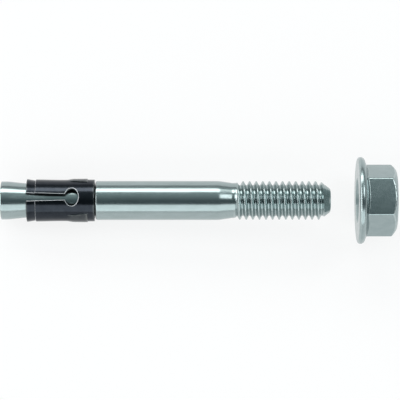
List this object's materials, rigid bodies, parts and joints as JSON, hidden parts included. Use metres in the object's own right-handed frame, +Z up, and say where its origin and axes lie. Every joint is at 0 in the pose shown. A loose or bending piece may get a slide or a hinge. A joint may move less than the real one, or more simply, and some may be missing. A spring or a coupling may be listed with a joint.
{
  "type": "nail anchor",
  "caption": "Throughbolt nail anchor lying on its side: cone bolt with a threaded end, slotted expansion clip round its neck, and hex flange nut drawn off the thread.",
  "frame": {"origin": "on the ground, under the middle of the part's box", "axes": "+X along the bolt from its cone end to the nut and level with the ground, +Y to the side, +Z up; the bolt's axis rises from the clip to the nut in the XZ plane"},
  "size_m": [0.0604, 0.0132, 0.0133],
  "materials": {
    "plated_bolt": "bright zinc plating over rolled steel",
    "dark_clip": "blue-black phosphated sheet with bright sheared edges",
    "plated_nut": "satin zinc plating over forged steel"
  },
  "bodies": {
    "clip": {"expansion_clip": "dark_clip"},
    "bolt": {"cone_bolt": "plated_bolt"},
    "nut": {"flange_nut": "plated_nut"}
  },
  "joints": [
    {"name": "nut_travel", "type": "slide", "parent": "clip", "child": "nut", "axis": [0.9976, 0, 0.069], "range_m": [-0.018, 0]},
    {"name": "bolt_turn", "type": "hinge", "parent": "clip", "child": "bolt", "pos_m": [-0.02998, 0, 0.00283], "axis": [0.9976, 0, 0.069], "continuous": true}
  ],
  "couplings": [
    {"joint": "bolt_turn", "follows": "nut_travel", "rad_per_m": -6283.2}
  ]
}
